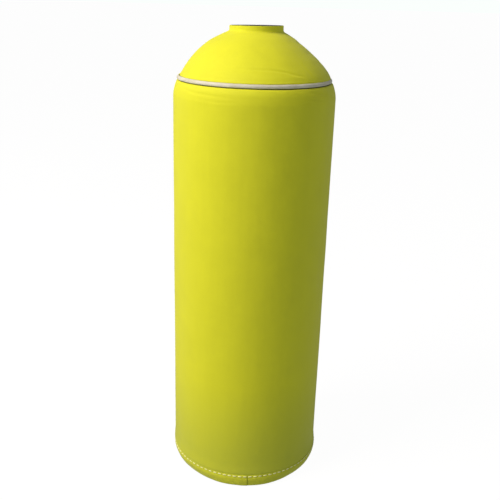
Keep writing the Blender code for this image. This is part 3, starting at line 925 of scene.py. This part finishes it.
# ---------------------------------------- the collar
# A short band of the same laminate stands round the neck. Its foot is turned out and sewn to the shoulder
# panel, and its raw upper edge shows the black foam.
COLLAR_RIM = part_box("cover_collar")[1].z
RIM_ROUND = 0.0006
FOOT_FILLET = 0.0032
FOOT_ANGLE = 242
COLLAR_STEPS = 144
LOWER_AT_LEFT = 0.0010
LOWER_AT_BACK = 0.0008

foot_reach = COLLAR_OUTER + FOOT_FILLET * (1 + math.cos(math.radians(FOOT_ANGLE)))
foot_height = dome_point(dome_angle(foot_reach, 0, 0.0001), 0.0001)[1]
fillet_middle = (COLLAR_OUTER + FOOT_FILLET, foot_height - FOOT_FILLET * math.sin(math.radians(FOOT_ANGLE)))
rim = [(COLLAR_INNER + RIM_ROUND, COLLAR_RIM), (COLLAR_OUTER - RIM_ROUND, COLLAR_RIM)]
rim_round = arc((COLLAR_OUTER - RIM_ROUND, COLLAR_RIM - RIM_ROUND), RIM_ROUND, 60, 0, 3)
foot = arc(fillet_middle, FOOT_FILLET, 180, FOOT_ANGLE, 9)
collar_outline = finish_as(rim, FOAM) + finish_as(rim_round + foot, KNIT)
collar_outer_rows = len(collar_outline)
for i in range(6):
    r = foot_reach - 0.0001 + (COLLAR_INNER - foot_reach + 0.0001) * i / 5
    collar_outline.append((r, dome_point(dome_angle(r, 0, -0.0002), -0.0002)[1], FOAM if i < 5 else LINING))
collar_outline.append((COLLAR_INNER, COLLAR_RIM - RIM_ROUND, FOAM))


def collar_swell(azimuth, height, radius):
    return uneven(azimuth, height * 20.0, (0.00022, 2.1)) - slit_lip(azimuth, COLLAR_OUTER) * 0.6


shape = bmesh.new()
half = SLIT / 2 / COLLAR_OUTER
turn_outline(shape, collar_outline, [(BACK + half, math.tau - 2 * half, COLLAR_STEPS)], closed=True)
collar_give = [0.4] * 2 + [1.0] * (collar_outer_rows - 4) + [0.3]
collar_give += [0.0] * (len(collar_outline) - len(collar_give))
swell(shape, collar_outline, collar_give, collar_swell)
for corner in shape.verts:
    azimuth = azimuth_of(corner)
    up = max(0.0, (corner.co.z - foot_height) / (COLLAR_RIM - foot_height))
    drop = LOWER_AT_LEFT * (1 - towards_right(azimuth)) + LOWER_AT_BACK * (1 + math.sin(azimuth)) / 2
    corner.co.z -= up * drop
close_ends(shape, FOAM)
collar = add_piece("collar", shape, LAMINATE, "cover", "cover_collar")

# ---------------------------------------- the piping
# A 2.4 mm cotton cord, squeezed flat in a folded white bias tape. The fold stands out of the shoulder seam
# as a low bead, and the tape's two edges run into the seam between the panels.
BEAD_HALF_WIDTH = 0.0023
BEAD_HALF_HEIGHT = 0.0016
BEAD_SUNK = 0.0011
TAPE_CLOTH = 0.0005
CORD_SQUEEZE = 0.0002
FLANGE_HALF = 0.00080
FLANGE_DEPTH = 0.0023
FOLD_HALF = 0.00015
PIPING_STEPS = 360

piping_white, tree, shader = new_material("white_piping", 0.5)
shader.inputs["Sheen Weight"].default_value = 0.15
flat = node(tree, "UVMap", uv_map="laid_flat")
place = node(tree, "TexCoord", out="Object")
u, v, _ = axes_of(tree, flat)
warp = sine(tree, maths(tree, "ADD", u, v), 9000.0)
weft = sine(tree, maths(tree, "SUBTRACT", u, v), 9000.0)
weave = maths(tree, "MULTIPLY_ADD", maths(tree, "MULTIPLY", warp, weft), 0.5, 0.5)
grime = speckle(tree, place, 55.0, 5.0, 0.65)
clean = blend_colours(tree, weave, (0.60, 0.58, 0.47), (0.82, 0.80, 0.67))
handled = node(tree, "Clamp", {0: maths(tree, "MULTIPLY_ADD", grime, 2.4, -0.95)})
handled = blend_colours(tree, handled, clean, (0.52, 0.49, 0.36))
# Painted shade: the tape is darkened below the bead and, more faintly, above it, where it runs into the
# seam's shadowed groove.
below = node(tree, "MapRange", {0: v, 1: 0.0085, 2: 0.0101}, interpolation_type="SMOOTHSTEP")
above = node(tree, "MapRange", {0: v, 1: 0.0034, 2: 0.0020}, interpolation_type="SMOOTHSTEP")
painted_seam_shade = maths(tree, "MULTIPLY", maths(tree, "ADD", below, maths(tree, "MULTIPLY", above, 0.6)), 0.8)
feed(shader, "Base Color", blend_colours(tree, painted_seam_shade, handled, (0.12, 0.11, 0.04)))
add_bump(tree, shader, weave, 0.00008)


def bead_swell(azimuth, height, radius):
    joined_at_back = 0.00035 * bump_at((azimuth - BACK) * radius, 0.006)
    return joined_at_back + uneven(azimuth, 0.0, (0.00016, 9.0), (0.00008, 31.0))


def bead_arc(shrink, foot, steps):
    """Points round the bead, squeezed a little flat, from one side of its foot over the top to the other."""
    width, height = BEAD_HALF_WIDTH - shrink, BEAD_HALF_HEIGHT - shrink
    side = math.asin(foot / width)
    points = []
    for i in range(steps + 1):
        angle = -math.pi / 2 + side + (math.tau - 2 * side) * i / steps
        points.append((width * math.cos(angle), height * math.sin(angle)))
    return points


section = [(FLANGE_HALF, -FLANGE_DEPTH)] + bead_arc(0.0, FLANGE_HALF, 26) + [(-FLANGE_HALF, -FLANGE_DEPTH)]
outer_count = len(section)
section += [(-FOLD_HALF, -FLANGE_DEPTH)] + bead_arc(TAPE_CLOTH, FOLD_HALF, 16)[::-1]
section.append((FOLD_HALF, -FLANGE_DEPTH))
tape_outline = [(*beside_seam(along, out), 0) for along, out in section]
bead_give = [1.0 if i < outer_count and out > -0.0012 else 0.0 for i, (_, out) in enumerate(section)]


def settle_in_seam(shape):
    """The bead leans with the cover and is pulled deeper into the seam on its right. Its foot stays put."""
    foot = beside_seam(0.0, -0.0020)[0]
    for corner in shape.verts:
        azimuth = azimuth_of(corner)
        share = clamp((math.hypot(*corner.co.xy) - foot) / BEAD_HALF_HEIGHT)
        sunk = BEAD_SUNK * (0.2 + 0.8 * towards_right(azimuth) ** 2)
        corner.co += around(azimuth, share * (lean(azimuth, SEAM_HEIGHT) - sunk), 0.0)
    face_out(shape)


shape = bmesh.new()
turn_outline(shape, tape_outline, [(BACK, math.tau, PIPING_STEPS)], closed=True)
swell(shape, tape_outline, bead_give, bead_swell)
settle_in_seam(shape)
piping = add_piece("piping", shape, [piping_white], "cover", "piping_tape")

cotton, tree, shader = new_material("cotton_cord", 0.9)
u, v, _ = axes_of(tree, node(tree, "UVMap", uv_map="laid_flat"))
strands = [sine(tree, maths(tree, "MULTIPLY_ADD", v, 1.5, maths(tree, "MULTIPLY", u, side)), 2200.0)
           for side in (1.0, -1.0)]
braid = maths(tree, "MULTIPLY_ADD", maths(tree, "MAXIMUM", *strands), 0.5, 0.5)
feed(shader, "Base Color", blend_colours(tree, braid, (0.42, 0.39, 0.30), (0.70, 0.66, 0.56)))
add_bump(tree, shader, braid, 0.00015)

shape = bmesh.new()
squeezed = bead_arc(TAPE_CLOTH + CORD_SQUEEZE, 0.0, 12)[:-1]
cord_section = [(*beside_seam(along, out), 0) for along, out in squeezed[::-1]]
turn_outline(shape, cord_section, [(BACK, math.tau, PIPING_STEPS)], closed=True)
settle_in_seam(shape)
add_piece("cord", shape, [cotton], "cover", "piping_cord")

# ---------------------------------------- the hem binding
# A strip of thin yellow knit tape, folded round the body panel's lower edge. Its left end laps over its
# right end at the front, and one row of lockstitch, 6.6 mm a stitch, goes right through.
LAP_AZIMUTH = math.radians(-87)
LAP = 0.008
LAP_RISE = 0.0004
LAP_RAMP = 0.0060
BINDING = 0.0007
BINDING_BEND = 0.0022
HEM_STEPS = 552
HEM_STITCHES = 92
HEM_STITCH_HEIGHT = HEM_TOP - 0.0013
HEM_BELLY = 0.0007
HOLE_DEPTH = 0.00045
ROW_DEPTH = 0.00022
END_GAP = 0.0002
binding_face = COVER_RADIUS + 0.0003 + BINDING


def past_lap(azimuth):
    """Distance round the hem from the lap's end to a place left of it, 0 to one whole turn, in metres."""
    return (LAP_AZIMUTH - azimuth) % math.tau * binding_face


def hem_swell(azimuth, height, radius):
    """The folded tape bulges below its stitching, is pulled in at each stitch, and rises over its own end."""
    out = lean(azimuth, height) * 0.8 + uneven(azimuth, height * 30.0, (0.00025, 3.0), (0.00015, 11.0))
    out += HEM_BELLY * clamp((height - 0.003) / 0.006) * clamp((HEM_STITCH_HEIGHT - height) / 0.004)
    stitch_phase = (azimuth - LAP_AZIMUTH) * HEM_STITCHES / math.tau
    hole = abs((stitch_phase + 0.5) % 1.0 - 0.5) * math.tau * binding_face / HEM_STITCHES
    out -= HOLE_DEPTH * bump_at(hole, 0.0011) * bump_at(height - HEM_STITCH_HEIGHT, 0.0011)
    out -= ROW_DEPTH * bump_at(height - HEM_STITCH_HEIGHT, 0.0013)
    return out + LAP_RISE * ease((LAP + LAP_RAMP - past_lap(azimuth)) / LAP_RAMP)


hem_cloth = knit_cloth("hem_tape_knit", YELLOW, YELLOW_DEEP, YELLOW_PAINTED_SHADE, 0.34, 0.0007, 0.0006)
outer_leg = [(binding_face, HEM_TOP - (HEM_TOP - HEM_BOTTOM - BINDING_BEND) * i / 14, 0) for i in range(14)]
under = arc((binding_face - BINDING_BEND, HEM_BOTTOM + BINDING_BEND), BINDING_BEND, 0, -90, 7)
inner_bend = BINDING_BEND / 2
inner_face = COVER_RADIUS - NEOPRENE
turn_in = arc((inner_face + inner_bend, HEM_BOTTOM + inner_bend), inner_bend, -90, -180, 4)
bend_top = HEM_BOTTOM + inner_bend
inner_leg = upright(inner_face, bend_top, HEM_TOP, 3)
binding_outline = outer_leg + finish_as(under + turn_in + inner_leg, 0)
binding_give = [1.0] * len(outer_leg) + [1.0 - 0.1 * i for i in range(len(under))]
binding_give += [0.0] * (len(binding_outline) - len(binding_give))

shape = bmesh.new()
end_gap = END_GAP / binding_face
turn_outline(shape, binding_outline, [(LAP_AZIMUTH + end_gap, math.tau - end_gap, HEM_STEPS)], closed=False)
swell(shape, binding_outline, binding_give, hem_swell)
draw_in(shape)
binding = add_piece("hem_tape", shape, [hem_cloth], "cover", "hem_binding", 60.0)
thickness = binding.modifiers.new("cloth", "SOLIDIFY")
thickness.thickness = BINDING
thickness.offset = -1.0
thickness.use_rim = True

# ---------------------------------------- the stitching
# Every seam is sewn with yellow bonded polyester thread. Each stitch is a short length of it, pulled tight
# so that its middle stands up and its two ends go down into their needle holes.
THREAD = 0.00075
HEM_THREAD = 0.0015
COLLAR_STITCHES = 60
NEEDLE_ANGLE = math.radians(218)
SHOULDER_SEAM_STITCHES = 168
CLOSING_PITCH = 0.0052
CLOSING_SLANT = math.radians(62)
CLOSING_STITCH = 0.0046


def thread(name, dark, light):
    """Three-ply thread with its plies' twist, from the stitch's own map: U round it and V along it."""
    made, tree, shader = new_material(name, 0.42)
    shader.inputs["Sheen Weight"].default_value = 0.3
    u, v, _ = axes_of(tree, node(tree, "UVMap", uv_map="laid_flat"))
    turns = maths(tree, "MULTIPLY_ADD", v, 5.0, u)
    plies = maths(tree, "MULTIPLY_ADD", sine(tree, turns, 2 * math.tau), 0.5, 0.5)
    feed(shader, "Base Color", blend_colours(tree, plies, dark, light))
    add_bump(tree, shader, plies, 0.00010)
    return made


pale_thread = thread("pale_yellow_thread", (0.82, 0.81, 0.30), (1.0, 0.99, 0.60))
yellow_thread = thread("yellow_thread", (0.58, 0.57, 0.03), (0.78, 0.78, 0.05))


def add_stitch(shape, middle, along, out, length, width):
    """One stitch: a bead of thread, stretched along the seam, its middle just proud of the cloth."""
    along = along.normalized()
    side = out.cross(along).normalized()
    out = along.cross(side)
    basis = Matrix((side * width / 2, out * width * 0.45, along * length / 2)).transposed().to_4x4()
    placed = Matrix.Translation(middle) @ basis
    bmesh.ops.create_uvsphere(shape, u_segments=8, v_segments=6, radius=1.0, matrix=placed, calc_uvs=True)


def add_stitches(name, shape, spun, stands_for):
    face_out(shape)
    add_piece(name, shape, [spun], "cover", stands_for, 80.0)


def new_stitching():
    shape = bmesh.new()
    shape.loops.layers.uv.new("laid_flat")
    return shape


def ring_of_stitches(shape, count, radius, height, slope, gap, width=THREAD):
    """Stitches end to end round the axis from the lap's azimuth, on a surface that faces out at a slope."""
    azimuth = LAP_AZIMUTH + math.pi / count
    out = around(azimuth, math.cos(slope), math.sin(slope))
    along = Vector((-math.sin(azimuth), math.cos(azimuth), 0.0))
    add_stitch(shape, around(azimuth, radius, height), along, out, math.tau * radius / count - gap, width)
    stitch = shape.verts[:] + shape.edges[:] + shape.faces[:]
    spin_round(shape, stitch, math.tau * (count - 1) / count, count - 1, copies=True)


shape = new_stitching()
ring_of_stitches(shape, HEM_STITCHES, binding_face + 0.0001, HEM_STITCH_HEIGHT, 0.0, 0.0016, HEM_THREAD)
for corner in shape.verts:
    azimuth = azimuth_of(corner)
    index = math.floor((azimuth - LAP_AZIMUTH) * HEM_STITCHES / math.tau)
    middle = LAP_AZIMUTH + (index + 0.5) * math.tau / HEM_STITCHES
    shift = hem_swell(middle, HEM_STITCH_HEIGHT, binding_face) - hem_taper(middle, HEM_STITCH_HEIGHT)
    corner.co += around(azimuth, shift, 0.0)
add_stitches("hem_stitches", shape, pale_thread, "hem_thread")

shape = new_stitching()
needle_reach = FOOT_FILLET + 0.0003
ring_of_stitches(
    shape,
    COLLAR_STITCHES,
    fillet_middle[0] + needle_reach * math.cos(NEEDLE_ANGLE),
    fillet_middle[1] + needle_reach * math.sin(NEEDLE_ANGLE),
    NEEDLE_ANGLE - math.pi,
    0.0008,
)
add_stitches("collar_stitches", shape, yellow_thread, "collar_seam_thread")

shape = new_stitching()
thread_line = beside_seam(0.0, -NEOPRENE + 0.0004)
ring_of_stitches(shape, SHOULDER_SEAM_STITCHES, *thread_line, math.radians(20), 0.0005)
add_stitches("shoulder_seam_stitches", shape, yellow_thread, "shoulder_seam_thread")


def closing_stitch(shape, point, down, out):
    """A blind stitch that slants across the closing seam at the back."""
    along = down * math.sin(CLOSING_SLANT) + Vector((1.0, 0.0, 0.0)) * math.cos(CLOSING_SLANT)
    add_stitch(shape, point - out * 0.0003, along, out, CLOSING_STITCH, THREAD)


def run_over_dome(shape, top, bottom):
    """Closing stitches down the dome, from one of its angles to another, a pitch apart."""
    points = dome_curve(top, bottom, 60)
    walked = CLOSING_PITCH / 2
    for (r0, z0), (r1, z1) in zip(points, points[1:]):
        length = math.hypot(r1 - r0, z1 - z0)
        if walked < length:
            down = Vector((0.0, (r1 - r0) / length, (z1 - z0) / length))
            out = Vector((0.0, -(z1 - z0) / length, (r1 - r0) / length))
            closing_stitch(shape, Vector((0.0, r0, z0)) + down * walked, down, out)
            walked += CLOSING_PITCH
        walked -= length


shape = new_stitching()
straight_stitches = int((SHOULDER_START - HEM_TOP - 0.006) / CLOSING_PITCH)
top_point = Vector((0.0, COVER_RADIUS, SHOULDER_START - CLOSING_PITCH / 2))
closing_stitch(shape, top_point, Vector((0.0, 0.0, -1.0)), Vector((0.0, 1.0, 0.0)))
stitch = shape.verts[:] + shape.edges[:] + shape.faces[:]
spin_round(shape, stitch, 0.0, straight_stitches - 1, climb=-CLOSING_PITCH, copies=True)
run_over_dome(shape, dome_angle(beside_seam(-0.0062, 0)[1], 1), 0.0)
add_stitches("body_closing_stitches", shape, yellow_thread, "body_closing_thread")

shape = new_stitching()
run_over_dome(shape, dome_angle(foot_reach + 0.002, 0), dome_angle(beside_seam(0.0065, 0)[1], 1))
add_stitches("shoulder_closing_stitches", shape, yellow_thread, "shoulder_closing_thread")

# ---------------------------------------- the seam tapes
# Inside the cover a strip of black nylon tape, 18 mm wide and half a millimetre thick, is glued over each
# closing seam and pressed in until it is flush with the lining.
seam_tape, tree, shader = new_material("seam_tape", 0.6)
u, v, _ = axes_of(tree, node(tree, "UVMap", uv_map="laid_flat"))
ribs = maths(tree, "MULTIPLY", sine(tree, u, 7000.0), sine(tree, v, 7000.0))
ribs = maths(tree, "MULTIPLY_ADD", ribs, 0.5, 0.5)
feed(shader, "Base Color", blend_colours(tree, ribs, (0.010, 0.010, 0.011), (0.040, 0.040, 0.042)))
add_bump(tree, shader, ribs, 0.00008)


def add_tape(name, run, mean_radius, stands_for):
    """A strip of tape along (radius, height) points of the lining, let into it by its own thickness."""
    half = TAPE_WIDTH / 2 / mean_radius
    shape = bmesh.new()
    back = []
    for i, (r, z) in enumerate(run):
        before, after = run[max(0, i - 1)], run[min(len(run) - 1, i + 1)]
        size = math.dist(before, after)
        back.append((r + (before[1] - after[1]) / size * TAPE_THICKNESS,
                     z + (after[0] - before[0]) / size * TAPE_THICKNESS))
    outline = finish_as(back + run[::-1], 0)
    turn_outline(shape, outline, [(BACK - half, 2 * half, 10)], closed=True)
    close_ends(shape, 0)
    tape = add_piece(name, shape, [seam_tape], "cover", stands_for, 30.0)


box_low, box_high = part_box("body_seam_tape")
straight = [(inner_radius, box_high.z + (box_low.z - box_high.z) * i / 40) for i in range(41)]
add_tape("body_tape", straight, COVER_RADIUS, "body_seam_tape")
tape_top = dome_angle(COLLAR_INNER + 0.010, 0)
tape_bottom = dome_angle(beside_seam(0.006, 0)[1], 1)
add_tape("shoulder_tape", dome_curve(tape_top, tape_bottom, 24, -NEOPRENE), SHOULDER_TAPE_RADIUS,
         "shoulder_seam_tape")
